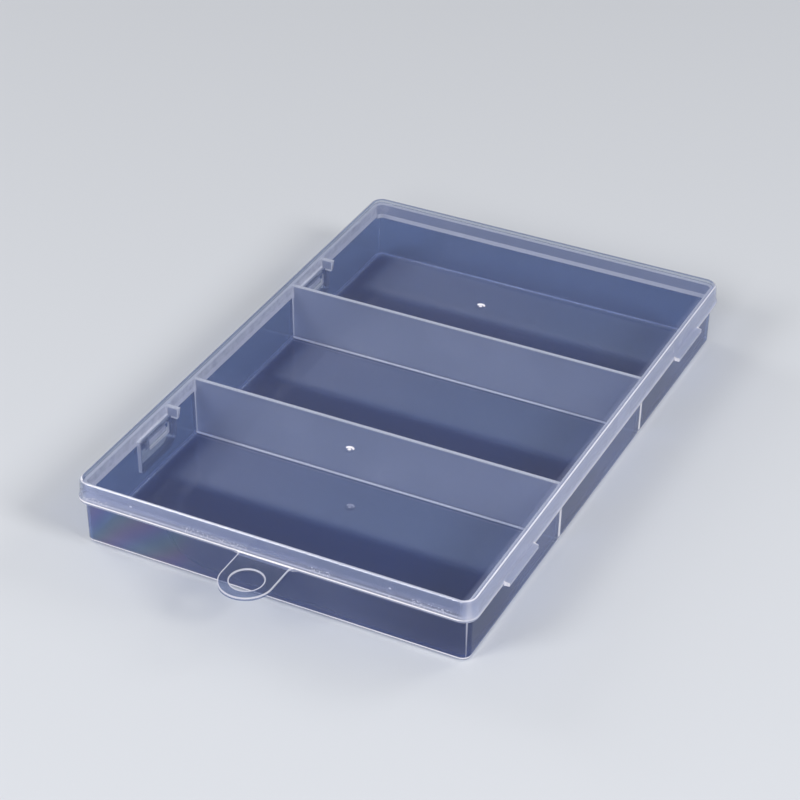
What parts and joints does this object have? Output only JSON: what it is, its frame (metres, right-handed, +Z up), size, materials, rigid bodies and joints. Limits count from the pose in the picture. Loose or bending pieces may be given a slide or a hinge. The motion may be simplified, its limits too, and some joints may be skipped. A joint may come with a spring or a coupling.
{
  "type": "compartment storage box",
  "caption": "Flat clear plastic organizer box: a tray split by fixed dividers and a skirted lid that hinges on clips, with a hang tab and thumb lips.",
  "frame": {"origin": "middle of the tray's flat underside, where the box rests on the table", "axes": "+Z up out of the lid's flat top; Y along the long side, with the hang tab to -Y; X across, with the hinge on the -X side and the thumb lips on the +X side"},
  "size_m": [0.1217, 0.1987, 0.0207],
  "materials": {
    "tray_plastic": "clear, slightly milky",
    "lid_plastic": "clear, slightly milky"
  },
  "bodies": {
    "tray": {"tray": "tray_plastic"},
    "lid": {"lid": "lid_plastic"}
  },
  "joints": [
    {"name": "lid_hinge", "type": "hinge", "parent": "tray", "child": "lid", "pos_m": [-0.0582, 0, 0.0123], "axis": [0, -1, 0], "range_deg": [0, 125]}
  ]
}
